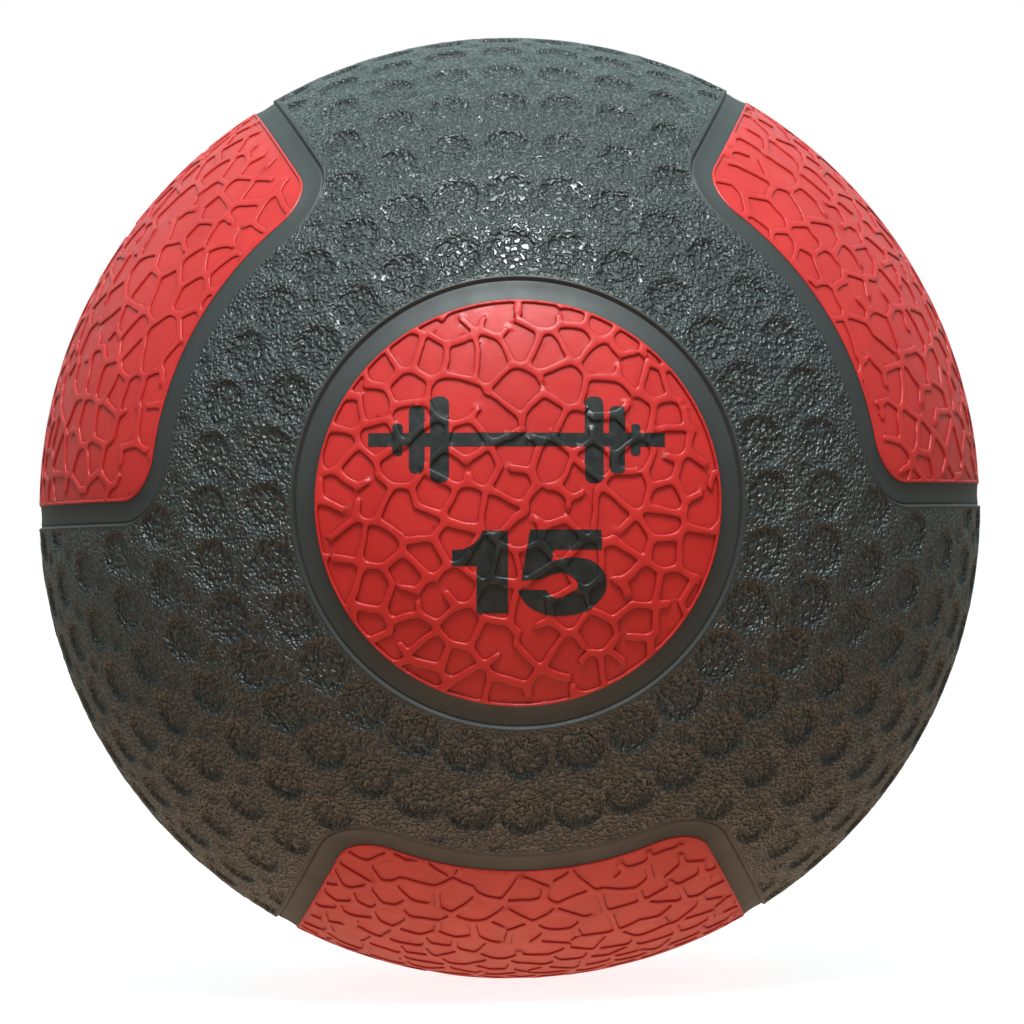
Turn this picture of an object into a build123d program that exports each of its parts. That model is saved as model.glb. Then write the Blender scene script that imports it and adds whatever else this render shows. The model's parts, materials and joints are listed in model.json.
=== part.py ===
from build123d import *
import os
from math import asin, cos, degrees, hypot, radians, sin, sqrt

# Inflatable rubber medicine ball of 15 lb, as the separate pieces that are moulded together.
# Frame: origin at the ball's centre, +Z up, the front pole on -Y. Millimetres and degrees.
# A place on the ball is a polar angle from the front pole and an azimuth from +X towards +Z.
# The equator, in the XZ plane, is the parting line between the front and rear halves.

# The ball and the layers of its wall, from the outside in.
BALL_RADIUS = 137.5
COVER_THICKNESS = 5.0
WALL_THICKNESS = 22.5
WINDING_THICKNESS = 1.2
BLADDER_THICKNESS = 1.3
PATCH_THICKNESS = 1.5

# Channels: smooth grooves that frame every coloured inlay.
CHANNEL_WIDTH = 6.4
CHANNEL_DEPTH = 0.8
CHANNEL_FLOOR_ROUND = 0.5

# Coloured inlays: each has a thin raised rim round a slightly lower field.
INLAY_THICKNESS = 3.2
RIM_WIDTH = 1.2
FIELD_DROP = 0.4
DISC_CHANNEL_POLAR = 24.6
PANEL_CHANNEL_POLAR = 45.5
PANEL_HALF_AZIMUTH = 29.8
PANEL_CORNER_RADIUS = 15.3
PANEL_AZIMUTHS = {
    "upper_right_side_panel": 30.0,
    "upper_left_side_panel": 150.0,
    "lower_side_panel": 270.0,
}

# Grip dimples: rings at an even polar step, laid out from the middle of each black gap.
GAP_AZIMUTHS = (90.0, 210.0, 330.0)
HALF_GAP_PITCH = 60.0
FIRST_RING_POLAR = 29.6
RING_STEP = 8.06
FULL_RING_COUNTS = (28, 36)
FULL_RING_DIAMETER = 13.0
GAP_RING_COUNTS = (39, 44, 48, 51, 54, 55)
GAP_RING_DIAMETER = 11.5
DIMPLE_DEPTH = 0.75
DIMPLE_MARGIN = 0.5

# Small dots between the dimple rings: polar angle of each row and its count to a full turn.
FULL_DOT_ROWS = ((34.4, 36), (42.5, 36))
GAP_DOT_ROWS = ((50.4, 41), (58.1, 44), (66.2, 51), (74.0, 51), (82.0, 54))
DOT_DIAMETER = 4.6
DOT_DEPTH = 0.45

# Valve at the rear pole.
STEM_RADIUS = 6.5
FLANGE_RADIUS = 10.0
FLANGE_THICKNESS = 3.0
PATCH_RADIUS = 25.0
PLUG_RADIUS = 3.0
AIR_PASSAGE_RADIUS = 1.2
PLUG_SEAT_DEPTH = 29.5
NEEDLE_RADIUS = 1.1
NEEDLE_MOUTH_RADIUS = 1.9
NEEDLE_MOUTH_DEPTH = 1.0
NEEDLE_PASSAGE_LENGTH = 24.0

# Printed ink on the discs.
INK_THICKNESS = 0.12
PRINT_TURN = -1.4
NUMBER_CENTRE = (2.4, -18.7)
REAR_NUMBER_CENTRE = (0.0, -24.0)
EMBLEM_CENTRE = (-0.1, 16.7)
EMBLEM_BAR = (79.0, 3.6)
EMBLEM_PLATES = ((20.5, 5.0, 23.0), (26.6, 4.2, 18.0), (31.6, 2.6, 8.5))
EMBLEM_CORNER_SHARE = 0.4

# Radii that follow from the above.
COVER_INNER = BALL_RADIUS - COVER_THICKNESS
WALL_INNER = COVER_INNER - WALL_THICKNESS
WINDING_INNER = WALL_INNER - WINDING_THICKNESS
BLADDER_INNER = WINDING_INNER - BLADDER_THICKNESS
PATCH_INNER = BLADDER_INNER - PATCH_THICKNESS
SEAT_RADIUS = BALL_RADIUS - INLAY_THICKNESS
FIELD_RADIUS = BALL_RADIUS - FIELD_DROP
CUT_RADIUS = BALL_RADIUS + 2.0

os.makedirs("parts", exist_ok=True)


def arc_degrees(length):
    """Angle at the ball's centre of an arc on its surface."""
    return degrees(length / BALL_RADIUS)


def direction(polar, azimuth):
    """Unit vector from the ball's centre to a place on its surface."""
    across = sin(radians(polar))
    return Vector(
        across * cos(radians(azimuth)),
        -cos(radians(polar)),
        across * sin(radians(azimuth)),
    )


def surface_plane(polar, azimuth):
    """Plane that touches the ball at a place, facing outwards."""
    outward = direction(polar, azimuth)
    return Plane(origin=outward * BALL_RADIUS, z_dir=outward)


def side_normal(azimuth, turn):
    """Unit normal of a panel's side meridian plane, pointing away from the panel."""
    side = radians(azimuth + turn * PANEL_HALF_AZIMUTH)
    return Vector(-sin(side) * turn, 0, cos(side) * turn)


def layer_section(inner, outer, start, end, plane=Plane.XY):
    """Section of a spherical layer between two polar angles, in a plane through the Y axis."""
    with BuildSketch(plane) as section:
        with BuildLine():
            outer_arc = CenterArc((0, 0), outer, start - 90, end - start)
            inner_arc = CenterArc((0, 0), inner, start - 90, end - start)
            Line(outer_arc @ 0, inner_arc @ 0)
            Line(outer_arc @ 1, inner_arc @ 1)
        make_face()
    return section.sketch


def panel_blank(azimuth, inner, outer, margin):
    """Rounded patch of a spherical layer astride the equator.

    Its outline follows the panel channel's centreline, moved outwards by margin.
    """
    polar = PANEL_CHANNEL_POLAR - arc_degrees(margin)
    reach = PANEL_HALF_AZIMUTH + 2 * arc_degrees(abs(margin))
    start = radians(azimuth + reach)
    plane = Plane(
        origin=(0, 0, 0),
        x_dir=(cos(start), 0, sin(start)),
        z_dir=(-sin(start), 0, cos(start)),
    )
    with BuildPart() as blank:
        revolve(
            layer_section(inner, outer, polar, 180 - polar, plane),
            axis=Axis.Y,
            revolution_arc=2 * reach,
        )
        for turn in (-1, 1):
            outward = side_normal(azimuth, turn)
            split(bisect_by=Plane(origin=outward * margin, z_dir=outward), keep=Keep.BOTTOM)
        corners = blank.edges().filter_by(lambda edge: edge.length < 2 * (outer - inner))
        fillet(corners, radius=PANEL_CORNER_RADIUS + margin)
    return blank.part


def panel_channel(azimuth):
    """Cutter for one panel's channel, with the foot of its outer wall rounded."""
    with BuildPart() as channel:
        add(panel_blank(azimuth, BALL_RADIUS - CHANNEL_DEPTH, CUT_RADIUS, CHANNEL_WIDTH / 2))
        floor = channel.faces().filter_by(GeomType.SPHERE).sort_by(SortBy.AREA)[0]
        fillet(floor.edges(), radius=CHANNEL_FLOOR_ROUND)
    return channel.part


def panel_clearance(polar, azimuth):
    """Least distance over the surface from a place to the outer edge of a panel's channel."""
    place = direction(polar, azimuth)
    distances = []
    for panel in PANEL_AZIMUTHS.values():
        sides = [asin(place.dot(side_normal(panel, turn))) for turn in (-1, 1)]
        beside = BALL_RADIUS * max(sides) + PANEL_CORNER_RADIUS
        above = BALL_RADIUS * radians(PANEL_CHANNEL_POLAR - polar) + PANEL_CORNER_RADIUS
        outside = hypot(max(beside, 0), max(above, 0))
        inside = min(max(beside, above), 0)
        distances.append(outside + inside - PANEL_CORNER_RADIUS - CHANNEL_WIDTH / 2)
    return min(distances)


def ring_places(polar, count, phase=0.0):
    """Frames of one unbroken ring of recesses, laid out from the upper gap's middle."""
    step = 360 / count
    azimuths = [GAP_AZIMUTHS[0] + (number + phase) * step for number in range(count)]
    return [surface_plane(polar, azimuth) for azimuth in azimuths]


def gap_places(polar, count, diameter, phase=0.0):
    """Frames of one row of recesses in the black gaps, each gap laid out from its middle.

    Only recesses that lie wholly on the pebbled rubber are kept.
    """
    places = []
    step = 360 / count
    steps_to_side = int(HALF_GAP_PITCH / step)
    for middle in GAP_AZIMUTHS:
        for number in range(-steps_to_side, steps_to_side + 1):
            azimuth = middle + (number + phase) * step
            if panel_clearance(polar, azimuth) > diameter / 2 + DIMPLE_MARGIN:
                places.append(surface_plane(polar, azimuth))
    return places


def save(piece, name):
    """Label a finished piece and write its STEP file."""
    piece.part.label = name
    export_step(piece.part, f"parts/{name}.step")


# Cover: black pebbled rubber in two moulded halves, with seats for the inlays.
disc_edge = DISC_CHANNEL_POLAR - arc_degrees(CHANNEL_WIDTH / 2)
disc_channel_edge = DISC_CHANNEL_POLAR + arc_degrees(CHANNEL_WIDTH / 2)
large_dimples = []
for ring, ring_count in enumerate(FULL_RING_COUNTS):
    large_dimples += ring_places(FIRST_RING_POLAR + ring * RING_STEP, ring_count)
small_dimples = []
for ring, ring_count in enumerate(GAP_RING_COUNTS, start=len(FULL_RING_COUNTS)):
    ring_polar = FIRST_RING_POLAR + ring * RING_STEP
    small_dimples += gap_places(ring_polar, ring_count, GAP_RING_DIAMETER)
dots = []
for row_polar, row_count in FULL_DOT_ROWS:
    dots += ring_places(row_polar, row_count, phase=0.5)
for row_polar, row_count in GAP_DOT_ROWS:
    dots += gap_places(row_polar, row_count, DOT_DIAMETER, phase=0.5)

with BuildPart() as stem_hole:
    with BuildSketch(Plane.XZ):
        Circle(STEM_RADIUS)
    extrude(amount=-CUT_RADIUS)

with BuildPart() as front_cover_half:
    revolve(layer_section(COVER_INNER, BALL_RADIUS, 0, 90), axis=Axis.Y)
    with Locations(*large_dimples):
        Cylinder(FULL_RING_DIAMETER / 2, 2 * DIMPLE_DEPTH, mode=Mode.SUBTRACT)
    with Locations(*small_dimples):
        Cylinder(GAP_RING_DIAMETER / 2, 2 * DIMPLE_DEPTH, mode=Mode.SUBTRACT)
    with Locations(*dots):
        Cylinder(DOT_DIAMETER / 2, 2 * DOT_DEPTH, mode=Mode.SUBTRACT)
    with BuildSketch() as disc_channel:
        add(layer_section(BALL_RADIUS - CHANNEL_DEPTH, CUT_RADIUS, 0, disc_channel_edge))
        foot = disc_channel.vertices().sort_by(Axis.X)[-2:].sort_by(Axis.Y)[-1]
        fillet(foot, radius=CHANNEL_FLOOR_ROUND)
    revolve(axis=Axis.Y, mode=Mode.SUBTRACT)
    revolve(
        layer_section(SEAT_RADIUS, CUT_RADIUS, 0, disc_edge), axis=Axis.Y, mode=Mode.SUBTRACT
    )
    for panel_azimuth in PANEL_AZIMUTHS.values():
        add(panel_channel(panel_azimuth), mode=Mode.SUBTRACT)
        seat = panel_blank(panel_azimuth, SEAT_RADIUS, CUT_RADIUS, -CHANNEL_WIDTH / 2)
        add(seat, mode=Mode.SUBTRACT)
save(front_cover_half, "front_cover_half")

with BuildPart() as rear_cover_half:
    mirror(front_cover_half.part, about=Plane.XZ)
    add(stem_hole.part, mode=Mode.SUBTRACT)
save(rear_cover_half, "rear_cover_half")


# Coloured inlays: a disc on each pole and three panels round the equator.
with BuildPart() as front_disc_inlay:
    revolve(layer_section(SEAT_RADIUS, BALL_RADIUS, 0, disc_edge), axis=Axis.Y)
    field_edge = disc_edge - arc_degrees(RIM_WIDTH)
    revolve(
        layer_section(FIELD_RADIUS, CUT_RADIUS, 0, field_edge), axis=Axis.Y, mode=Mode.SUBTRACT
    )
save(front_disc_inlay, "front_disc_inlay")

with BuildPart() as rear_disc_inlay:
    mirror(front_disc_inlay.part, about=Plane.XZ)
    add(stem_hole.part, mode=Mode.SUBTRACT)
save(rear_disc_inlay, "rear_disc_inlay")

for panel_name, panel_azimuth in PANEL_AZIMUTHS.items():
    with BuildPart() as side_panel:
        add(panel_blank(panel_azimuth, SEAT_RADIUS, BALL_RADIUS, -CHANNEL_WIDTH / 2))
        field_margin = -CHANNEL_WIDTH / 2 - RIM_WIDTH
        field = panel_blank(panel_azimuth, FIELD_RADIUS, CUT_RADIUS, field_margin)
        add(field, mode=Mode.SUBTRACT)
    save(side_panel, panel_name)


# Weighted wall: thick mineral-filled rubber that carries most of the 15 lb, in two halves.
with BuildPart() as front_weighted_wall:
    revolve(layer_section(WALL_INNER, COVER_INNER, 0, 90), axis=Axis.Y)
save(front_weighted_wall, "front_weighted_wall")

with BuildPart() as rear_weighted_wall:
    mirror(front_weighted_wall.part, about=Plane.XZ)
    add(stem_hole.part, mode=Mode.SUBTRACT)
save(rear_weighted_wall, "rear_weighted_wall")


# Nylon winding: thread wound round the bladder, one closed layer but for the valve stem.
with BuildPart() as nylon_winding:
    revolve(layer_section(WINDING_INNER, WALL_INNER, 0, 180), axis=Axis.Y)
    add(stem_hole.part, mode=Mode.SUBTRACT)
save(nylon_winding, "nylon_winding")


# Butyl bladder: holds the air, with one hole for the valve stem.
with BuildPart() as air_bladder:
    revolve(layer_section(BLADDER_INNER, WINDING_INNER, 0, 180), axis=Axis.Y)
    add(stem_hole.part, mode=Mode.SUBTRACT)
save(air_bladder, "air_bladder")


# Valve patch: round reinforcement bonded inside the bladder, round the valve stem.
with BuildPart() as valve_patch:
    patch_angle = degrees(asin(PATCH_RADIUS / BLADDER_INNER))
    revolve(layer_section(PATCH_INNER, BLADDER_INNER, 180 - patch_angle, 180), axis=Axis.Y)
    add(stem_hole.part, mode=Mode.SUBTRACT)
save(valve_patch, "valve_patch")


# Valve housing: rubber stem through the whole wall, with a flange under the patch.
with BuildPart() as valve_housing:
    stem_end = sqrt(FIELD_RADIUS**2 - STEM_RADIUS**2)
    plug_seat = FIELD_RADIUS - PLUG_SEAT_DEPTH
    neck = sqrt(PATCH_INNER**2 - STEM_RADIUS**2)
    flange_rim = sqrt(PATCH_INNER**2 - FLANGE_RADIUS**2)
    flange_foot = flange_rim - FLANGE_THICKNESS
    with BuildSketch():
        with BuildLine():
            Polyline(
                (STEM_RADIUS, neck),
                (STEM_RADIUS, stem_end),
                (PLUG_RADIUS, stem_end),
                (PLUG_RADIUS, plug_seat),
                (AIR_PASSAGE_RADIUS, plug_seat),
                (AIR_PASSAGE_RADIUS, flange_foot),
                (FLANGE_RADIUS, flange_foot),
                (FLANGE_RADIUS, flange_rim),
            )
            RadiusArc((FLANGE_RADIUS, flange_rim), (STEM_RADIUS, neck), -PATCH_INNER)
        make_face()
    revolve(axis=Axis.Y)
save(valve_housing, "valve_housing")


# Valve plug: soft insert that takes the inflation needle and closes behind it.
with BuildPart() as valve_plug:
    passage_mouth = stem_end - NEEDLE_MOUTH_DEPTH
    passage_foot = passage_mouth - NEEDLE_PASSAGE_LENGTH
    with BuildSketch():
        with BuildLine():
            Polyline(
                (0, plug_seat),
                (PLUG_RADIUS, plug_seat),
                (PLUG_RADIUS, stem_end),
                (NEEDLE_MOUTH_RADIUS, stem_end),
                (NEEDLE_RADIUS, passage_mouth),
                (NEEDLE_RADIUS, passage_foot),
                (0, passage_foot),
                close=True,
            )
        make_face()
    revolve(axis=Axis.Y)
save(valve_plug, "valve_plug")


# Ink: thin printed films that lie on the field of a disc.
FRONT_PRINT = Plane.XZ
REAR_PRINT = Plane(origin=(0, 0, 0), x_dir=(-1, 0, 0), z_dir=(0, 1, 0))


def weight_number():
    """The numerals 15 in a heavy wide face, 22 mm tall, centred on their own middle."""
    with BuildSketch() as number:
        with BuildLine():
            ThreePointArc((0, 16.9), (5.2, 18.1), (8.0, 21.9))
            Polyline(
                (8.0, 21.9), (14.8, 21.9), (14.8, 0), (6.5, 0), (6.5, 12.6), (0, 12.6), (0, 16.9)
            )
        make_face()
        with BuildLine():
            Polyline((26.4, 13.8), (26.8, 16.9), (39.6, 16.9), (39.6, 22.2), (20.6, 22.2))
            Polyline((20.6, 22.2), (18.3, 8.9), (23.3, 8.9))
            Spline((23.3, 8.9), (27.0, 10.4), (30.6, 10.4), (33.3, 7.6), (29.6, 4.4), (25.0, 6.2))
            Line((25.0, 6.2), (17.4, 6.2))
            bowl = [(17.4, 6.2), (21.2, 1.2), (28.8, -0.7), (37.0, 1.5), (41.1, 7.6)]
            Spline(*bowl, (39.0, 12.6), (33.0, 14.8), (26.4, 13.8))
        make_face()
    middle = number.sketch.bounding_box().center()
    return number.sketch.moved(Location((-middle.X, -middle.Y, 0)))


def barbell():
    """A plain barbell seen from the side, centred on the middle of its bar."""
    with BuildSketch() as emblem:
        Rectangle(*EMBLEM_BAR)
        for plate_offset, plate_width, plate_height in EMBLEM_PLATES:
            with Locations((-plate_offset, 0), (plate_offset, 0)):
                RectangleRounded(plate_width, plate_height, EMBLEM_CORNER_SHARE * plate_width)
    return emblem.sketch


INK_PRINTS = {
    "front_weight_number": (weight_number(), FRONT_PRINT, NUMBER_CENTRE, PRINT_TURN),
    "front_emblem": (barbell(), FRONT_PRINT, EMBLEM_CENTRE, PRINT_TURN),
    "rear_weight_number": (weight_number(), REAR_PRINT, REAR_NUMBER_CENTRE, 0),
}
for print_name, (artwork, print_plane, centre, turn) in INK_PRINTS.items():
    with BuildPart() as ink_film:
        with BuildSketch(print_plane):
            with Locations(Location((*centre, 0), (0, 0, turn))):
                add(artwork)
        extrude(amount=CUT_RADIUS)
        Sphere(FIELD_RADIUS + INK_THICKNESS, mode=Mode.INTERSECT)
        Sphere(FIELD_RADIUS, mode=Mode.SUBTRACT)
    save(ink_film, print_name)
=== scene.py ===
import json
from itertools import combinations
from math import cos, pi, radians, sin

import bpy
import numpy as np
from mathutils import Matrix, Vector
from mathutils.geometry import delaunay_2d_cdt
from mathutils.kdtree import KDTree


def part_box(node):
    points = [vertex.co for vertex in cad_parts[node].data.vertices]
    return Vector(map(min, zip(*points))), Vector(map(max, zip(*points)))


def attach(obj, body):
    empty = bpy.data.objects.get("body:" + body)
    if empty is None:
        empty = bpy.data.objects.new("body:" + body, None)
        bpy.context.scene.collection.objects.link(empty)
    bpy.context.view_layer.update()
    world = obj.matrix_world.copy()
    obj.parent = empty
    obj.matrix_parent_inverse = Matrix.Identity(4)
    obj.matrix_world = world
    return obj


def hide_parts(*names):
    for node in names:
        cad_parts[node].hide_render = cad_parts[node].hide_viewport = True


# An inflatable rubber medicine ball. Lengths are in millimetres until a mesh is made.
# A place on the ball is a unit vector from its centre. Its polar angle is from the front
# pole on -Y and its azimuth is from +X towards +Z, as in the CAD model.
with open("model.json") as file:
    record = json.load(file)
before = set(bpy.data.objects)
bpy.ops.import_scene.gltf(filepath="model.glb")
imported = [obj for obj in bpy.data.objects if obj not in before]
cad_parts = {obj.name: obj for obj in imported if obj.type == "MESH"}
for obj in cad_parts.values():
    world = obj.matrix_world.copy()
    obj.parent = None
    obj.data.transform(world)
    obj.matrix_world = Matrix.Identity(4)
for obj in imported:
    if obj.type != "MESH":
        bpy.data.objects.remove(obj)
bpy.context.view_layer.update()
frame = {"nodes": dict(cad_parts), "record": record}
MM = 0.001
MOUNTS = {mount["name"]: mount for mount in frame["record"]["mounts"]}
BALL_RADIUS = -MOUNTS["rest_point"]["pos_m"][2] / MM
FLOOR_HEIGHT = MOUNTS["rest_point"]["pos_m"][2]
COVER_INNER = -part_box("front_weighted_wall")[0].y / MM
STEM_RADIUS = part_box("valve_housing")[1].x / MM

# Channels and inlays, as the CAD model lays them out.
CHANNEL_WIDTH = 6.4
HALF_CHANNEL = CHANNEL_WIDTH / 2
DISC_CHANNEL_POLAR = 24.6
PANEL_CHANNEL_POLAR = 45.5
PANEL_HALF_AZIMUTH = 29.8
PANEL_CORNER_RADIUS = 15.3
PANEL_AZIMUTHS = {
    "upper_right_side_panel": 30.0,
    "upper_left_side_panel": 150.0,
    "lower_side_panel": 270.0,
}
SEAT_RADIUS = BALL_RADIUS - 3.2

# Groove of a channel. Its outer edge is a step with a raised lip above it and a fine crease at
# its foot, each LIP_OFFSET from the edge. Painted shade darkens the crease. The mesh has rows of
# points at GROOVE_ROWS from the centreline.
GROOVE_DEPTH = 0.3
GROOVE_STEP = 0.5
STEP_HALF_WIDTH = 0.3
LIP_OFFSET = 0.42
LIP_HEIGHT = 0.14
LIP_WIDTH = 0.25
FOOT_DEPTH = 0.22
FOOT_WIDTH = 0.2
SHADE_OFFSET = 0.35
SHADE_WIDTH = 0.3
GROOVE_ROWS = (
    *(-2.6, -1.3, 0.0, 1.3, 2.2, 2.5, 2.64, 2.78, 2.92),
    *(3.06, 3.2, 3.34, 3.48, 3.62, 3.8, 4.1),
)

# Grip dimples and dots: rings round the front pole, some only in the gaps between the panels.
# A step is the width of a recess's flank. Rows of mesh points are measured from its edge.
GAP_AZIMUTHS = (90.0, 210.0, 330.0)
FIRST_RING_POLAR = 29.6
RING_STEP = 8.06
FULL_RING_COUNTS = (28, 36)
FULL_RING_DIAMETER = 13.0
GAP_RING_COUNTS = (39, 44, 48, 51, 54, 55)
GAP_RING_DIAMETER = 11.5
FULL_DOT_ROWS = ((34.4, 36), (42.5, 36))
GAP_DOT_ROWS = ((50.4, 41), (58.1, 44), (66.2, 51), (74.0, 51), (82.0, 54))
DOT_DIAMETER = 4.6
DIMPLE_DEPTH = 0.95
DIMPLE_STEP = 0.85
DIMPLE_ROWS = (-0.55, -0.2, 0.2, 0.55)
DOT_DEPTH = 0.5
DOT_STEP = 1.3
DOT_ROWS = (-0.7, 0.0, 0.7)
PEBBLE_HEIGHT = 0.07
PEBBLE_SIZES = (2.4, 4.5)

# How far outside a channel's edge the dimples and fine grain set in.
RELIEF_START = (0.6, 1.4)
GRAIN_START = (0.65, 1.3)

# Crackle veins of the inlays, which are edges of random cells. A vein has a flat top and round
# flanks, with rows of mesh points at VEIN_ROWS outside its foot, found along rays in each cell.
VEIN_TOP_RADIUS = BALL_RADIUS - 0.11
DISC_VEIN_HEIGHT = 0.78
PANEL_VEIN_HEIGHT = 0.5
VEIN_HALF_WIDTH = 1.02
VEIN_WIDTH_SPREAD = 0.15
VEIN_FLANK = 0.42
VEIN_ROWS = (0.35, 0.0, -0.03, -0.11, -0.24, -0.42)
VEIN_BLEND = 3.6
RIM_WIDTH = 0.8
RIM_ROWS = (0.16, 0.4)
RIM_BEVEL = 0.25
CELL_GAPS = (6.6, 10.8)
MISSING_VEINS = 0.03
SHORT_VEINS = 0.2
VEINS_SHORT_OF_RIM = 0.5
CELLS_TRIED = 9000
NEARBY_VEINS = 26
CHUNK = 40000
RAYS = 64
RAY_REACH = (0.15, 11)
RAY_STEP = 0.3
ASKEW = (0.3, 0.5, 0.8)
RIM_CLEARANCE = 0.15
LEAST_ROOM = 0.2
VEIN_SAMPLES = 33
LEAST_SAMPLES = 10
SHORT_VEIN_SHARE = (0.3, 0.7)
RIM_GAP = (2.6, 3.6)
VEIN_BENDS = ((0.55, 14, 34), (0.16, 4.5, 8))

# Studio: the surroundings' colour from straight below (0) to straight above (1), and a key lamp.
SKY = (
    (0.0, (1.5, 0.98, 0.66)),
    (0.25, (0.37, 0.3, 0.22)),
    (0.5, (0.21, 0.215, 0.185)),
    (0.72, (0.55, 0.73, 0.73)),
    (1.0, (0.7, 0.94, 0.98)),
)
BACKDROP_GAIN = 1.5
SIDE_SHARE = 0.66
FLOOR_GLOW = 0.86
KEY_ELEVATION = 60
KEY_DISTANCE = 1.5
KEY_SIZE = 0.6
KEY_WATTS = 27

# Spacing of mesh points.
OUTLINE_SPACING = 1.1
ROW_SPACING = 1.25
FILL_SPACING = 1.6
VEIN_SPACING = 0.6
FIELD_SPACING = 1.3
BACK_SPACING = 7.0
SEARCH_SPACING = 1.2
LINK_LENGTHS = (VEIN_SPACING / 3, 2.6 * VEIN_SPACING)
INK_SPACING = 0.6
FILM_TOLERANCE = 0.04
INK_THICKNESS = 0.1
INK_LIFT = 0.005
RINGS_FROM_CHANNEL = 1.4
RINGS_APART = 0.3
FILL_FROM_CHANNEL = 1.5
SEATS_FROM_EDGE = 2.0


# ---- places on the ball


def unit(vectors):
    return vectors / np.linalg.norm(vectors, axis=-1, keepdims=True)


def smooth_step(low, high, value):
    share = np.clip((value - low) / (high - low), 0, 1)
    return share * share * (3 - 2 * share)


def bell(offset, width):
    """1 at no offset, falling smoothly to both sides over about width."""
    return np.exp(-((offset / width) ** 2))


def directions(polar, azimuth):
    """Places at polar angles and azimuths in degrees."""
    polar, azimuth = np.broadcast_arrays(np.radians(polar), np.radians(azimuth))
    across = np.sin(polar)
    return np.stack([across * np.cos(azimuth), -np.cos(polar), across * np.sin(azimuth)], -1)


def axes_at(outward, east):
    """Rows east, north and outward of a right-handed frame at a place."""
    outward = unit(np.array(outward, float))
    east = unit(np.array(east, float))
    return np.array([east, np.cross(outward, east), outward])


def around(axes, angles, arcs):
    """Places at arcs (radians) from the middle of axes, in the directions of angles."""
    angles, arcs = np.broadcast_arrays(angles, arcs)
    across = np.sin(arcs)
    return np.stack([across * np.cos(angles), across * np.sin(angles), np.cos(arcs)], -1) @ axes


def flatten(places, axes):
    """Stereographic map to the plane that touches the ball at the middle of axes."""
    local = places @ axes.T
    return 2 * BALL_RADIUS * local[:, :2] / (1 + local[:, 2:])


def unflatten(flat, axes):
    half = flat / (2 * BALL_RADIUS)
    square = (half**2).sum(1, keepdims=True)
    return (np.hstack([2 * half, 1 - square]) / (1 + square)) @ axes


def lattice(spacing):
    """Places spread evenly over the whole ball along a golden-angle spiral."""
    count = int(4 * pi * (BALL_RADIUS / spacing) ** 2 / sin(pi / 3))
    number = np.arange(count)
    along = 1 - (2 * number + 1) / count
    angle = number * pi * (3 - 5**0.5)
    across = np.sqrt(1 - along**2)
    return np.stack([along, across * np.cos(angle), across * np.sin(angle)], -1)


def respace(line, spacing):
    """Evenly spaced places along an open line, both ends kept."""
    along = np.concatenate([[0], np.cumsum(np.linalg.norm(np.diff(line, axis=0), axis=1))])
    count = max(round(along[-1] * BALL_RADIUS / spacing), 2)
    wanted = np.linspace(0, along[-1], count + 1)
    return unit(np.stack([np.interp(wanted, along, line[:, k]) for k in range(3)], -1))


def tree_of(places):
    tree = KDTree(len(places))
    for index, place in enumerate(places):
        tree.insert(place, index)
    tree.balance()
    return tree


def nearest_gap(places, others):
    """Distance in millimetres from each place to the nearest of the others."""
    tree = tree_of(others)
    return np.array([tree.find(place)[2] for place in places]) * BALL_RADIUS


def thin_out(places, gap):
    """Drop the places that crowd an earlier one."""
    tree = tree_of(places)
    kept = np.ones(len(places), bool)
    for index, place in enumerate(places):
        if kept[index]:
            for _, other, _ in tree.find_range(place, gap / BALL_RADIUS):
                if other > index:
                    kept[other] = False
    return places[kept]


def wave_noise(places, shortest, longest, count, seed):
    """Smooth noise of about -1 to 1: a sum of sine waves in random directions."""
    rng = np.random.default_rng(seed)
    total = np.zeros(len(places))
    for _ in range(count):
        heading = unit(rng.normal(size=3)) * 2 * pi * BALL_RADIUS / rng.uniform(shortest, longest)
        total += np.sin(places @ heading + rng.uniform(0, 2 * pi))
    return total / count**0.5


# ---- channels and dimples


def disc_distance(places):
    """Distance to the centreline of the disc channels; negative on the disc's side."""
    polar = np.arccos(np.clip(np.abs(places[:, 1]), 0, 1))
    return BALL_RADIUS * (polar - radians(DISC_CHANNEL_POLAR))


def panel_distance(places, azimuth):
    """Distance to the centreline of one panel's channel; negative on the panel's side."""
    sides = []
    for turn in (-1, 1):
        side = radians(azimuth + turn * PANEL_HALF_AZIMUTH)
        sides.append(np.arcsin(places @ np.array([-sin(side) * turn, 0, cos(side) * turn])))
    polar = np.arccos(np.clip(np.abs(places[:, 1]), 0, 1))
    beside = BALL_RADIUS * np.maximum(*sides) + PANEL_CORNER_RADIUS
    above = BALL_RADIUS * (radians(PANEL_CHANNEL_POLAR) - polar) + PANEL_CORNER_RADIUS
    outside = np.hypot(np.maximum(beside, 0), np.maximum(above, 0))
    return outside + np.minimum(np.maximum(beside, above), 0) - PANEL_CORNER_RADIUS


def channel_distance(places):
    """Distance to the nearest channel's centreline; negative on an inlay."""
    panels = [panel_distance(places, azimuth) for azimuth in PANEL_AZIMUTHS.values()]
    return np.min([disc_distance(places), *panels], axis=0)


def panel_axes(azimuth):
    """Frame at a panel's middle: along the equator, towards the front pole, outwards."""
    middle = directions(90, azimuth)
    return axes_at(middle, np.cross((0, -1, 0), middle))


def front_panel_row(azimuth, margin, spacing):
    """Front half of the line at a margin from a panel channel's centreline."""
    axes = panel_axes(azimuth)
    angles = np.linspace(0, pi, 1441)
    near, far = np.zeros(angles.shape), np.full(angles.shape, pi / 2)
    for _ in range(30):
        middle = (near + far) / 2
        within = panel_distance(around(axes, angles, middle), azimuth) < margin
        near, far = np.where(within, middle, near), np.where(within, far, middle)
    row = respace(around(axes, angles, near), spacing)
    row[[0, -1], 1] = 0
    return unit(row)


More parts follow.
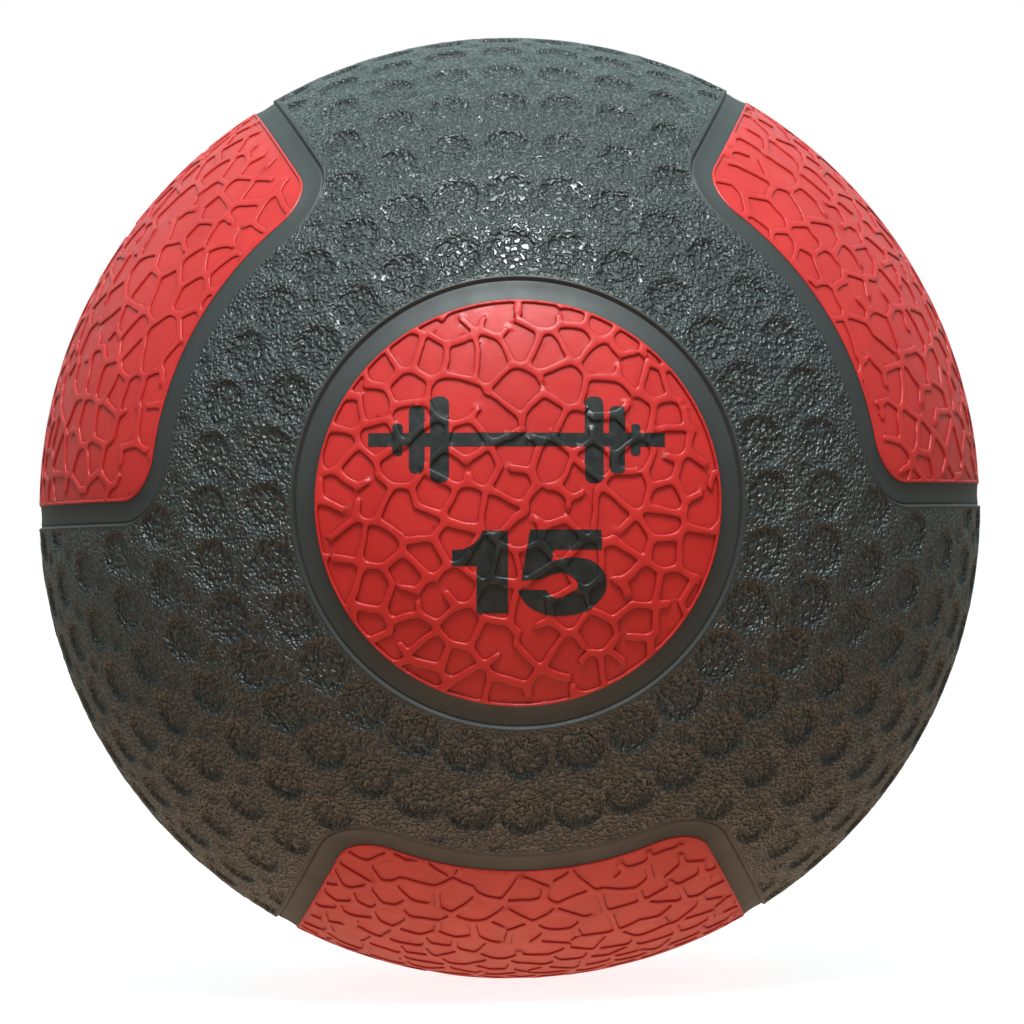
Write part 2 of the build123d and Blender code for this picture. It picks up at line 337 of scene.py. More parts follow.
def panel_loop(azimuth, margin, spacing):
    """The whole closed line at a margin from a panel channel's centreline."""
    front = front_panel_row(azimuth, margin, spacing)
    rear = front[-2:0:-1] * (1, -1, 1)
    return np.concatenate([front, rear])


def pole_circle(side, arc, spacing):
    """Circle round a pole, arc millimetres from it; side is -1 at the front."""
    count = max(round(2 * pi * BALL_RADIUS * sin(arc / BALL_RADIUS) / spacing), 12)
    angles = np.arange(count) * 2 * pi / count
    return around(pole_axes(side), angles, arc / BALL_RADIUS)


def pole_axes(side):
    return axes_at((0, side, 0), (-side, 0, 0))


def recess_places():
    """Middles of the large dimples, the small dimples and the dots of the front half."""
    large = [
        directions(FIRST_RING_POLAR + ring * RING_STEP, 90 + np.arange(count) * 360 / count)
        for ring, count in enumerate(FULL_RING_COUNTS)
    ]
    dots = [
        directions(polar, 90 + (np.arange(count) + 0.5) * 360 / count)
        for polar, count in FULL_DOT_ROWS
    ]
    small = []
    gap_rows = [
        (FIRST_RING_POLAR + ring * RING_STEP, count, 0.0, small)
        for ring, count in enumerate(GAP_RING_COUNTS, start=len(FULL_RING_COUNTS))
    ]
    gap_rows += [(polar, count, 0.5, dots) for polar, count in GAP_DOT_ROWS]
    for polar, count, phase, kept in gap_rows:
        steps = count // 6
        for middle in GAP_AZIMUTHS:
            numbers = np.arange(-steps, steps + 1) + phase
            row = directions(polar, middle + numbers * 360 / count)
            clearance = channel_distance(row) - HALF_CHANNEL
            kept.append(row[clearance > (0 if kept is small else DOT_DIAMETER / 2)])
    return [np.concatenate(group) for group in (large, small, dots)]


RECESSES = [
    (places, diameter / 2, depth, step, rows)
    for places, diameter, depth, step, rows in zip(
        recess_places(),
        (FULL_RING_DIAMETER, GAP_RING_DIAMETER, DOT_DIAMETER),
        (DIMPLE_DEPTH, DIMPLE_DEPTH, DOT_DEPTH),
        (DIMPLE_STEP, DIMPLE_STEP, DOT_STEP),
        (DIMPLE_ROWS, DIMPLE_ROWS, DOT_ROWS),
    )
]


def recess_depth(places):
    """Depth of the dimples and dots at each place."""
    depth = np.zeros(len(places))
    for middles, radius, full_depth, step, _ in RECESSES:
        gap = nearest_gap(places, middles)
        depth += full_depth * (1 - smooth_step(radius - step / 2, radius + step / 2, gap))
    return depth


def grain_share(places):
    """Strength of the pebble grain: 0 in the channels, a half between dimples, 1 in them."""
    pebbled = smooth_step(*GRAIN_START, channel_distance(places) - HALF_CHANNEL)
    return pebbled * (1 + np.minimum(recess_depth(places) / DIMPLE_DEPTH, 1)) / 2


def channel_creases(places):
    """Painted shade: 1 along both edges of the channels and 0 elsewhere."""
    distance = channel_distance(places)
    outer = bell(distance - HALF_CHANNEL + SHADE_OFFSET, SHADE_WIDTH)
    return outer + bell(distance + HALF_CHANNEL, 2 * SHADE_WIDTH)


def cover_radii(places):
    """Radius of the cover's outer face."""
    distance = channel_distance(places)
    from_edge = distance - HALF_CHANNEL
    across = np.clip(np.abs(distance) / HALF_CHANNEL, 0, 1)
    step = GROOVE_STEP * smooth_step(STEP_HALF_WIDTH, -STEP_HALF_WIDTH, from_edge)
    groove = GROOVE_DEPTH * (1 - across**2) + step
    lip = LIP_HEIGHT * bell(from_edge - LIP_OFFSET, LIP_WIDTH)
    foot = FOOT_DEPTH * bell(from_edge + LIP_OFFSET, FOOT_WIDTH)
    pebble = PEBBLE_HEIGHT * wave_noise(places, *PEBBLE_SIZES, count=40, seed=11)
    relief = smooth_step(*RELIEF_START, from_edge) * (pebble - recess_depth(places))
    return BALL_RADIUS - groove - foot + lip + relief


# ---- meshes


def triangulate(places, axes, edges, keep):
    """Triangles over places, facing outwards, that hold to edges.

    keep takes the middles of triangles and says which of them stay.
    """
    flat = [Vector(point) for point in flatten(places, axes)]
    points, _, faces, *_ = delaunay_2d_cdt(flat, edges, [], 0, 1e-5, False)
    places = unflatten(np.array([tuple(point) for point in points]), axes)
    triangles = np.array(faces)
    return places, triangles[keep(unit(places[triangles].mean(1)))]


def everywhere(places):
    return np.ones(len(places), bool)


def closed_edges(indices):
    return [(int(a), int(b)) for a, b in zip(indices, np.roll(indices, -1))]


def open_edges(triangles):
    """Directed edges that only one triangle uses."""
    edges = np.concatenate([triangles[:, [0, 1]], triangles[:, [1, 2]], triangles[:, [2, 0]]])
    stride = triangles.max() + 1
    there, back = edges @ (stride, 1), edges @ (1, stride)
    return edges[~np.isin(there, back)]


def backing(places, triangles, axes, keep):
    """A coarse layer with the same outline as triangles, facing inwards."""
    rim = open_edges(triangles)
    corners, numbers = np.unique(rim, return_inverse=True)
    edges = numbers.reshape(rim.shape).tolist()
    fill = lattice(BACK_SPACING)
    fill = fill[keep(fill)]
    fill = fill[nearest_gap(fill, places[corners]) > BACK_SPACING / 3]
    made, faces = triangulate(np.concatenate([places[corners], fill]), axes, edges, keep)
    assert len(made) == len(corners) + len(fill)
    lookup = np.concatenate([corners, len(places) + np.arange(len(fill))])
    return np.concatenate([places, fill]), lookup[faces][:, ::-1]


def padded(values, count):
    """Values with the last one repeated up to count."""
    return np.concatenate([values, np.full(count - len(values), values[-1])])


def split_triangles(middle, first, second, tip):
    """Triangles of an edge and a tip, in two where the edge has a point in its middle."""
    whole = middle < 0
    return [
        np.stack([tip, first, second], 1)[whole],
        np.stack([tip, first, middle], 1)[~whole],
        np.stack([tip, middle, second], 1)[~whole],
    ]


def make_solid(name, node, places, layers, material, **attributes):
    """One closed mesh from layers of triangles that share places along their open edges.

    A layer is its triangles and the radius at each place. Where two layers share an open
    edge, a wall joins them. An attribute has a value at each place, kept on the first layer.
    """
    points, faces, copies = [], [], []
    values = {name: [] for name in attributes}
    total = 0
    for number, (triangles, radii) in enumerate(layers):
        used = np.unique(triangles)
        copy = np.full(len(places), -1)
        copy[used] = total + np.arange(len(used))
        points.append(places[used] * radii[used, None])
        for kind, source in attributes.items():
            values[kind].append(padded(source, len(places))[used] if number == 0 else 0.0 * used)
        faces.append(copy[triangles])
        copies.append(copy)
        total += len(used)
    rims = [open_edges(triangles) for triangles, _ in layers]
    for upper, lower in combinations(range(len(layers)), 2):
        opposite = {(int(b), int(a)) for a, b in rims[lower]}
        shared = np.array([edge for edge in rims[upper].tolist() if tuple(edge) in opposite])
        if len(shared):
            start, end = shared.T
            top, bottom = copies[upper], copies[lower]
            between = copies[upper + 1] if lower > upper + 1 else np.full(len(places), -1)
            faces += split_triangles(between[start], top[start], bottom[start], top[end])
            faces += split_triangles(between[end], bottom[end], top[end], bottom[start])
    mesh = bpy.data.meshes.new(name)
    points, faces = np.concatenate(points) * MM, np.concatenate(faces)
    mesh.vertices.add(len(points))
    mesh.vertices.foreach_set("co", points.astype(np.float32).ravel())
    mesh.loops.add(faces.size)
    mesh.loops.foreach_set("vertex_index", faces.astype(np.int32).ravel())
    mesh.polygons.add(len(faces))
    mesh.polygons.foreach_set("loop_start", np.arange(0, faces.size, 3, dtype=np.int32))
    for kind, parts in values.items():
        attribute = mesh.attributes.new(kind, "FLOAT", "POINT")
        attribute.data.foreach_set("value", np.concatenate(parts).astype(np.float32))
    mesh.update(calc_edges=True)
    mesh.validate()
    mesh.shade_smooth()
    mesh.set_sharp_from_angle(angle=radians(50))
    mesh.materials.append(material)
    piece = bpy.data.objects.new(name, mesh)
    bpy.context.scene.collection.objects.link(piece)
    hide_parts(node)
    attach(piece, "root")
    return piece


# ---- cover


def cover_net():
    """Places and fixed edges over the front half: channels, dimples and the equator."""
    rows, edges, equator = [], [], []
    count = 0
    for azimuth in PANEL_AZIMUTHS.values():
        for margin in (-HALF_CHANNEL, *GROOVE_ROWS):
            on_edge = margin == -HALF_CHANNEL
            row = front_panel_row(azimuth, margin, OUTLINE_SPACING if on_edge else ROW_SPACING)
            edges += [(count + k, count + k + 1) for k in range(len(row) - 1)]
            equator += [(row[end], count + end % len(row)) for end in (0, -1)]
            rows.append(row)
            count += len(row)
    disc_arc = BALL_RADIUS * radians(DISC_CHANNEL_POLAR)
    for margin in (-HALF_CHANNEL, *GROOVE_ROWS):
        on_edge = margin == -HALF_CHANNEL
        row = pole_circle(-1, disc_arc + margin, OUTLINE_SPACING if on_edge else ROW_SPACING)
        edges += closed_edges(count + np.arange(len(row)))
        rows.append(row)
        count += len(row)
    stem = pole_circle(-1, STEM_RADIUS, OUTLINE_SPACING)
    edges += closed_edges(count + np.arange(len(stem)))
    rows.append(stem)
    count += len(stem)
    corners = sorted(
        (np.degrees(np.arctan2(place[2], place[0])) % 360, index) for place, index in equator
    )
    loop = []
    for (start, index), (end, _) in zip(corners, corners[1:] + [(corners[0][0] + 360, None)]):
        between = int(radians(end - start) * BALL_RADIUS / FILL_SPACING)
        azimuths = start + (end - start) * np.arange(1, between + 1) / (between + 1)
        rows.append(directions(90, azimuths).reshape(-1, 3))
        loop += [index, *range(count, count + between)]
        count += between
    edges += closed_edges(np.array(loop))
    return np.concatenate(rows), edges


def cover_fill(rows):
    """Places on the pebbled rubber: rings at each recess's edge and an even fill."""
    rings = []
    for middles, radius, _, step, offsets in RECESSES:
        for offset in offsets:
            count = round(2 * pi * (radius + offset) / ROW_SPACING)
            angles = (np.arange(count) + 0.5 * (offsets.index(offset) % 2)) * 2 * pi / count
            for middle in middles:
                axes = axes_at(middle, np.cross((0, -1, 0), middle))
                rings.append(around(axes, angles, (radius + offset) / BALL_RADIUS))
    rings = np.concatenate(rings)
    rings = rings[channel_distance(rings) > HALF_CHANNEL + RINGS_FROM_CHANNEL]
    rings = thin_out(rings, RINGS_APART)
    fill = lattice(FILL_SPACING)
    fill = fill[fill[:, 1] < -0.8 * FILL_SPACING / BALL_RADIUS]
    pebbled = fill[channel_distance(fill) > HALF_CHANNEL + FILL_FROM_CHANNEL]
    seats = lattice(BACK_SPACING)
    seats = seats[seats[:, 1] < -BACK_SPACING / 2 / BALL_RADIUS]
    seats = seats[channel_distance(seats) < -HALF_CHANNEL - SEATS_FROM_EDGE]
    pebbled = pebbled[nearest_gap(pebbled, np.concatenate([rows, rings])) > 0.55 * FILL_SPACING]
    seats = seats[nearest_gap(seats, rows) > SEATS_FROM_EDGE]
    return np.concatenate([rings, pebbled, seats])


def make_cover(material):
    """Both halves of the cover; the rear one mirrors the front and has the stem's hole."""
    rows, edges = cover_net()
    net = np.concatenate([rows, cover_fill(rows)])
    axes = pole_axes(-1)
    places, triangles = triangulate(net, axes, edges, everywhere)
    middles = unit(places[triangles].mean(1))
    on_cover = channel_distance(middles) > -HALF_CHANNEL
    stem_arc = STEM_RADIUS / BALL_RADIUS
    in_stem = middles[:, 1] < -cos(stem_arc)
    # painted shade along both edges of the channels goes on the mesh beside the grain
    radii, grain, crease = cover_radii(places), grain_share(places), channel_creases(places)
    seat = np.full(len(places), SEAT_RADIUS)
    for side, node in ((-1, "front_cover_half"), (1, "rear_cover_half")):
        seats = triangles[~on_cover & ~(in_stem & (side == 1))]
        outer = np.concatenate([triangles[on_cover], seats])

        def within(middles, side=side):
            return (middles[:, 1] < 1e-6) & ((side == -1) | (middles[:, 1] > -cos(stem_arc)))

        whole, inner = backing(places, outer, axes, within)
        flip = (1, -side, 1)
        order = slice(None, None, -side)
        layers = [
            (triangles[on_cover][:, ::-side], padded(radii, len(whole))),
            (seats[:, order], padded(seat, len(whole))),
            (inner[:, order], np.full(len(whole), COVER_INNER)),
        ]
        name = f"{node}_moulded"
        make_solid(name, node, whole * flip, layers, material, grain=grain, crease=crease)


# ---- crackle inlays


class Crackle:
    """The veins of one inlay: edges of random cells, some of them short or missing."""

    def __init__(self, axes, reach, inside, seed, height):
        self.inside = inside
        self.height = height
        self.rng = np.random.default_rng(seed)
        self.seed = seed
        self.cells = self.scatter(unflatten(self.rng.uniform(-reach, reach, (CELLS_TRIED, 2)), axes))
        self.starts, self.ends, self.half_widths = self.veins(axes)
        middles = (self.starts + self.ends) / 2
        gaps = np.linalg.norm(self.cells[:, None] * BALL_RADIUS - middles[None], axis=2)
        self.nearby = np.argsort(gaps, axis=1)[:, :NEARBY_VEINS]

    def scatter(self, spots):
        """Cell middles, thrown at random and kept apart by uneven gaps."""
        spots = spots[self.inside(spots) > -CELL_GAPS[1]]
        gaps = self.rng.uniform(*CELL_GAPS, len(spots)) / BALL_RADIUS
        kept = spots[:1]
        for spot, gap in zip(spots[1:], gaps[1:]):
            if np.linalg.norm(kept - spot, axis=1).min() > gap:
                kept = np.vstack([kept, spot])
        return kept

    def veins(self, axes):
        """Ends and half widths of the veins, one between each two cells that meet."""
        places, triangles = triangulate(self.cells, axes, [], everywhere)
        a, b, c = places[triangles].transpose(1, 0, 2)
        corners = unit(np.cross(b - a, c - a)) * BALL_RADIUS
        first, pairs = {}, []
        for number, triangle in enumerate(triangles.tolist()):
            for k in range(3):
                side = tuple(sorted((triangle[k], triangle[k - 1])))
                if side in first:
                    pairs.append((first[side], number))
                first[side] = number
        starts, ends, half_widths = [], [], []
        for one, other in pairs:
            start, end = corners[one], corners[other]
            if self.rng.random() < 0.5:
                start, end = end, start
            fate = self.rng.random()
            if fate < MISSING_VEINS:
                continue
            if fate < MISSING_VEINS + SHORT_VEINS:
                end = start + (end - start) * self.rng.uniform(*SHORT_VEIN_SHARE)
            line = start + (end - start) * np.linspace(0, 1, VEIN_SAMPLES)[:, None]
            room = self.inside(unit(line))
            if self.rng.random() < VEINS_SHORT_OF_RIM:
                line = line[room > self.rng.uniform(*RIM_GAP)]
            if room.max() < 0 or len(line) < LEAST_SAMPLES:
                continue
            starts.append(line[0])
            ends.append(line[-1])
            half_widths.append(VEIN_HALF_WIDTH + self.rng.uniform(-1, 1) * VEIN_WIDTH_SPREAD)
        return np.array(starts), np.array(ends), np.array(half_widths)

    def bent(self, places):
        """Places in millimetres, moved a little so that straight veins come out wavy."""
        total = places * BALL_RADIUS
        for amount, shortest, longest in VEIN_BENDS:
            shift = [wave_noise(places, shortest, longest, 8, self.seed + k) for k in range(3)]
            shift = np.stack(shift, -1)
            total += amount * (shift - places * (shift * places).sum(-1, keepdims=True))
        return total

    def clearance(self, places):
        """Distance from each place to the foot of the nearest vein or rim; negative on it."""
        points, rim = self.bent(places), self.inside(places) - RIM_WIDTH
        result = np.empty(len(places))
        for part in np.array_split(np.arange(len(places)), len(places) // CHUNK + 1):
            near = self.nearby[np.argmax(points[part] @ self.cells.T, axis=1)]
            start = self.starts[near]
            along = self.ends[near] - start
            offset = points[part, None] - start
            share = (offset * along).sum(2) / (along * along).sum(2)
            offset -= np.clip(share, 0, 1)[..., None] * along
            gap = np.sqrt((offset * offset).sum(2)) - self.half_widths[near]
            gap = np.concatenate([gap, rim[part, None]], axis=1)
            result[part] = -np.log(np.exp(-VEIN_BLEND * gap).sum(1)) / VEIN_BLEND
        return result

    def radii(self, places, clearance):
        """Radius of the inlay's outer face: flat fields, flat veins with round shoulders."""
        climb = np.clip(1 + clearance / VEIN_FLANK, 0, 1)
        bevel = RIM_BEVEL * (1 - smooth_step(0, RIM_ROWS[-1], self.inside(places)))
        return VEIN_TOP_RADIUS - self.height * (1 - np.sqrt(1 - climb**2)) - bevel

    def field_middles(self):
        """The roomiest place of each cell that has room."""
        spots = lattice(SEARCH_SPACING)
        spots = spots[self.inside(spots) > 0]
        room = self.clearance(spots)
        owner = np.argmax(spots @ self.cells.T, axis=1)
        middles = []
        for cell in np.unique(owner):
            own = np.flatnonzero(owner == cell)
            best = own[np.argmax(room[own])]
            if room[best] > LEAST_ROOM:
                middles.append(spots[best])
        return middles

    def rows(self):
        """Places in rows along the veins' flanks, and the edges that join each row's places."""
        angles = np.arange(RAYS) * 2 * pi / RAYS
        arcs = np.arange(*RAY_REACH, RAY_STEP) / BALL_RADIUS
        rays = np.array([
            around(axes_at(middle, np.cross(middle, ASKEW)), angles[:, None], arcs)
            for middle in self.field_middles()
        ])
        room = self.clearance(rays.reshape(-1, 3)).reshape(rays.shape[:3])
        places, edges = [], []
        for level in VEIN_ROWS:
            after = np.argmax(room < level, axis=2)
            cell, ray = np.nonzero(after > 0)
            after = after[cell, ray]
            low, high = room[cell, ray, after], room[cell, ray, after - 1]
            share = ((high - level) / (high - low))[:, None]
            line = unit(rays[cell, ray, after - 1] * (1 - share) + rays[cell, ray, after] * share)
            loops = {}
            for index in np.flatnonzero(self.inside(line) > RIM_ROWS[-1] + RIM_CLEARANCE):
                loop = loops.setdefault(int(cell[index]), [])
                place = line[index]
                if not loop or np.linalg.norm(places[loop[-1]] - place) * BALL_RADIUS >= VEIN_SPACING:
                    loop.append(len(places))
                    places.append(place)
            for loop in loops.values():
                for one, other in zip(loop, loop[1:] + loop[:1]):
                    gap = np.linalg.norm(places[one] - places[other]) * BALL_RADIUS
                    if one != other and LINK_LENGTHS[0] < gap < LINK_LENGTHS[1]:
                        edges.append((one, other))
        return np.array(places), edges


def print_loops(node):
    """Outlines of a printed film's outer face, as closed loops of places."""
    mesh = frame["nodes"][node].data
    points = np.array([vertex.co for vertex in mesh.vertices]) / MM
    mesh.calc_loop_triangles()
    triangles = np.array([triangle.vertices for triangle in mesh.loop_triangles])
    _, first, welded = np.unique(points.round(3), axis=0, return_index=True, return_inverse=True)
    triangles, points = welded.ravel()[triangles], points[first]
    height = np.linalg.norm(points, axis=1)
    outer = triangles[(height[triangles] > height.max() - FILM_TOLERANCE).all(1)]
    following = dict(open_edges(outer).tolist())
    loops = []
    while following:
        start, end = following.popitem()
        loop = [start, end]
        while end in following:
            end = following.pop(end)
            loop.append(end)
        corners = unit(points[loop])
        sides = [
            respace(corners[k : k + 2], INK_SPACING)[:-1]
            if np.linalg.norm(corners[k + 1] - corners[k]) * BALL_RADIUS > 1.5 * INK_SPACING
            else corners[k : k + 1]
            for k in range(len(corners) - 1)
        ]
        loops.append(np.concatenate(sides))
    return loops


def within_loops(places, loops, axes):
    """Which places lie inside closed loops, by counting crossings in the flat map."""
    points = flatten(places, axes)
    inside = np.zeros(len(points), bool)
    for loop in loops:
        line = flatten(loop, axes)
        for (x0, y0), (x1, y1) in zip(line, np.roll(line, -1, axis=0)):
            spans = (y0 > points[:, 1]) != (y1 > points[:, 1])
            crossing = x0 + (points[:, 1] - y0) * (x1 - x0) / (y1 - y0 if y1 != y0 else 1)
            inside ^= spans & (points[:, 0] < crossing)
    return inside


def make_inlay(node, axes, loops, rim_rows, inside, seed, height, material, prints=(), ink=None):
    """One crackled inlay as a closed solid, with the ink films printed on it."""
    reach = np.abs(flatten(np.concatenate(loops), axes)).max() + CELL_GAPS[1]
    crackle = Crackle(axes, reach, inside, seed, height)
    outlines = {print_node: print_loops(print_node) for print_node in prints}
    fixed, edges, count = [], [], 0
    for loop in [*loops, *(loop for outline in outlines.values() for loop in outline)]:
        edges += closed_edges(count + np.arange(len(loop)))
        fixed.append(loop)
        count += len(loop)
    fixed = np.concatenate(fixed)
    rows, row_edges = crackle.rows()
    if prints:
        lettering = np.concatenate([loop for outline in outlines.values() for loop in outline])
        clear = nearest_gap(rows, lettering) > INK_SPACING / 2
        numbers = np.cumsum(clear) - 1
        row_edges = [(int(numbers[a]), int(numbers[b])) for a, b in row_edges if clear[a] and clear[b]]
        rows = rows[clear]
    edges += [(count + a, count + b) for a, b in row_edges]
    rows = np.concatenate([rows, *rim_rows])
    fill = lattice(FIELD_SPACING)
    fill = fill[inside(fill) > RIM_WIDTH]
    fill = fill[nearest_gap(fill, np.concatenate([fixed, rows])) > FIELD_SPACING / 2]
    places, triangles = triangulate(
        np.concatenate([fixed, rows, fill]), axes, edges, lambda middles: inside(middles) > 0
    )
    clearance = crackle.clearance(places)
    radii = crackle.radii(places, clearance)
    whole, seat = backing(places, triangles, axes, lambda middles: inside(middles) > 0)
    layers = [
        (triangles, padded(radii, len(whole))),
        (seat, np.full(len(whole), SEAT_RADIUS)),
    ]
    # painted shade: darker along the feet of the veins and of the rim
    crease = bell(np.maximum(clearance, -3 * clearance), SHADE_WIDTH)
    make_solid(f"{node}_crackled", node, whole, layers, material, crease=crease)
    middles = unit(places[triangles].mean(1))
    for print_node, outline in outlines.items():
        film = triangles[within_loops(middles, outline, axes)]
        layers = [(film, radii + INK_THICKNESS), (film[:, ::-1], radii + INK_LIFT)]
        make_solid(f"{print_node}_film", print_node, places, layers, ink)


def make_discs(material, ink):
    edge = BALL_RADIUS * radians(DISC_CHANNEL_POLAR) - HALF_CHANNEL

    def on_front(places):
        return np.where(places[:, 1] < 0, -disc_distance(places) - HALF_CHANNEL, -99.0)

    def on_rear(places):
        from_stem = BALL_RADIUS * np.arccos(np.clip(places[:, 1], -1, 1)) - STEM_RADIUS
        field = np.minimum(-disc_distance(places) - HALF_CHANNEL, from_stem)
        return np.where(places[:, 1] > 0, field, -99.0)

    loops = [pole_circle(-1, edge, OUTLINE_SPACING)]
    rim_rows = [pole_circle(-1, edge - row, VEIN_SPACING) for row in RIM_ROWS]
    prints = ("front_weight_number", "front_emblem")
    shared = (DISC_VEIN_HEIGHT, material, prints, ink)
    make_inlay("front_disc_inlay", pole_axes(-1), loops, rim_rows, on_front, 5, *shared)
    loops = [pole_circle(1, edge, OUTLINE_SPACING), pole_circle(1, STEM_RADIUS, OUTLINE_SPACING)]
    rim_rows = [pole_circle(1, edge - row, VEIN_SPACING) for row in RIM_ROWS]
    rim_rows += [pole_circle(1, STEM_RADIUS + row, VEIN_SPACING) for row in RIM_ROWS]
    shared = (DISC_VEIN_HEIGHT, material, ("rear_weight_number",), ink)
    make_inlay("rear_disc_inlay", pole_axes(1), loops, rim_rows, on_rear, 6, *shared)


def make_side_panels(material):
    for seed, (node, azimuth) in enumerate(PANEL_AZIMUTHS.items(), start=20):

        def inside(places, azimuth=azimuth):
            return -panel_distance(places, azimuth) - HALF_CHANNEL

        loops = [panel_loop(azimuth, -HALF_CHANNEL, OUTLINE_SPACING)]
        rim_rows = [panel_loop(azimuth, -HALF_CHANNEL - row, VEIN_SPACING) for row in RIM_ROWS]
        shared = (seed, PANEL_VEIN_HEIGHT, material)
        make_inlay(node, panel_axes(azimuth), loops, rim_rows, inside, *shared)


# ---- materials


class Shading:
    """A material and the nodes that go into its Principled shader."""

    def __init__(self, name, color, roughness):
        self.material = bpy.data.materials.new(name)
        self.material.use_nodes = True
        self.nodes = self.material.node_tree.nodes
        self.shader = self.nodes["Principled BSDF"]
        self.shader.inputs["Base Color"].default_value = (*color, 1)
        self.shader.inputs["Roughness"].default_value = roughness
        self.place = self.nodes.new("ShaderNodeTexCoord").outputs["Object"]

    def link(self, source, target):
        self.material.node_tree.links.new(source, target)

    def drive(self, name, source):
        """Link source to the shader's socket of that name."""
        self.link(source, self.shader.inputs[name])

    def noise(self, size, detail=2.0, distortion=0.0):
        """Noise with features about size millimetres across."""
        node = self.nodes.new("ShaderNodeTexNoise")
        node.inputs["Scale"].default_value = 1 / (size * MM)
        node.inputs["Detail"].default_value = detail
        node.inputs["Distortion"].default_value = distortion
        self.link(self.place, node.inputs["Vector"])
        return node.outputs["Fac"]

    def attribute(self, name):
        """A value from 0 to 1 that the mesh carries."""
        node = self.nodes.new("ShaderNodeAttribute")
        node.attribute_name = name
        return node.outputs["Fac"]

    def pebbles(self, size):
        """Height of winding ridges and furrows, each about size millimetres wide."""
        return self.remap(self.noise(size, detail=0.0, distortion=0.4), 0.32, 0.68)

    def math(self, operation, *values):
        node = self.nodes.new("ShaderNodeMath")
        node.operation = operation
        for socket, value in zip(node.inputs, values):
            if isinstance(value, (int, float)):
                socket.default_value = value
            else:
                self.link(value, socket)
        return node.outputs[0]

    def remap(self, value, low, high, to_low=0.0, to_high=1.0):
        node = self.nodes.new("ShaderNodeMapRange")
        node.inputs["From Min"].default_value = low
        node.inputs["From Max"].default_value = high
        node.inputs["To Min"].default_value = to_low
        node.inputs["To Max"].default_value = to_high
        self.link(value, node.inputs["Value"])
        return node.outputs["Result"]

    def mix(self, share, low, high):
        """Colour between two colours; each is a colour or a socket."""
        node = self.nodes.new("ShaderNodeMix")
        node.data_type = "RGBA"
        self.link(share, node.inputs["Factor"])
        for socket, value in ((node.inputs["A"], low), (node.inputs["B"], high)):
            if isinstance(value, tuple):
                socket.default_value = (*value, 1)
            else:
                self.link(value, socket)
        return node.outputs["Result"]

    def bump(self, height, depth, strength=1.0, normal=None):
        """Bump from a height of 0 to 1 that is depth millimetres deep."""
        node = self.nodes.new("ShaderNodeBump")
        node.inputs["Distance"].default_value = depth * MM
        node.inputs["Strength"].default_value = strength
        self.link(height, node.inputs["Height"])
        if normal:
            self.link(normal, node.inputs["Normal"])
        return node.outputs["Normal"]


def cover_rubber():
    """Black rubber: worm-like pebble grain, none of it in the smooth channels."""
    shading = Shading("cover_rubber", (0.024, 0.026, 0.027), 0.45)
    shading.shader.inputs["Specular IOR Level"].default_value = 0.85
    share = shading.attribute("grain")
    in_dimple = shading.remap(share, 0.55, 0.95)
    pebbled = shading.remap(share, 0.0, 0.45)
    fine, coarse = shading.pebbles(0.95), shading.pebbles(1.2)
    coarser = shading.math("MULTIPLY", in_dimple, shading.math("SUBTRACT", coarse, fine))
    worms = shading.math("ADD", fine, coarser)
    amount = shading.math("MULTIPLY", pebbled, shading.remap(in_dimple, 0.0, 1.0, 0.7, 1.0))
    grain = shading.math("MULTIPLY", worms, amount)
    shading.drive("Normal", shading.bump(grain, 0.75))
    furrow = shading.math("MULTIPLY", pebbled, shading.math("SUBTRACT", 1.0, worms))
    patches = shading.remap(shading.noise(28, detail=3.0), 0.3, 0.7)
    color = shading.mix(patches, (0.034, 0.041, 0.040), (0.041, 0.048, 0.046))
    color = shading.mix(pebbled, (0.02, 0.021, 0.02), color)
    # painted shade: darker in the furrows of the pebble grain
    color = shading.mix(furrow, color, (0.007, 0.008, 0.008))
    # painted shade: darker along both edges of the channels
    shade_share = shading.math("MULTIPLY", shading.attribute("crease"), 0.8)
    color = shading.mix(shade_share, color, (0.004, 0.004, 0.004))
    shading.drive("Base Color", color)
    smear = shading.remap(shading.noise(9, detail=3.0), 0.3, 0.7, 0.28, 0.38)
    smooth_channel = shading.remap(pebbled, 0.0, 1.0, 0.26, 0.0)
    matt = shading.math("ADD", shading.math("MULTIPLY", furrow, 0.2), smooth_channel)
    shading.drive("Roughness", shading.math("ADD", smear, matt))
    return shading.material


def red_inlay():
    """Red rubber with a semi-gloss skin, faint mottling and a fine orange-peel grain."""
    shading = Shading("red_inlay", (0.6, 0.03, 0.03), 0.4)
    shading.shader.inputs["Specular IOR Level"].default_value = 0.4
    patches = shading.noise(16, detail=3.0)
    color = shading.mix(shading.remap(patches, 0.3, 0.7), (0.56, 0.020, 0.018), (0.65, 0.028, 0.024))
    # painted shade: darker red at the feet of the veins and of the rim
    shade_share = shading.math("MULTIPLY", shading.attribute("crease"), 0.5)
    color = shading.mix(shade_share, color, (0.13, 0.004, 0.004))
    shading.drive("Base Color", color)
    peel = shading.noise(1.4, detail=3.0)
    fine = shading.noise(0.35, detail=1.0)
    normal = shading.bump(fine, 0.01, 0.5)
    shading.drive("Normal", shading.bump(peel, 0.05, 0.6, normal))
    roughness = shading.remap(shading.noise(5, detail=3.0), 0.3, 0.7, 0.35, 0.47)
    shading.drive("Roughness", roughness)
    return shading.material


def print_ink():
    """Black screen-printed ink with a slight sheen and a dusty unevenness."""
    shading = Shading("print_ink", (0.016, 0.017, 0.017), 0.42)
    dust = shading.noise(3, detail=4.0)
    color = shading.mix(shading.remap(dust, 0.35, 0.75), (0.012, 0.014, 0.014), (0.028, 0.026, 0.025))
    shading.drive("Base Color", color)
    shading.drive("Normal", shading.bump(shading.noise(0.8, 3.0), 0.03, 0.5))
    shading.drive("Roughness", shading.remap(dust, 0.3, 0.7, 0.34, 0.5))
    return shading.material


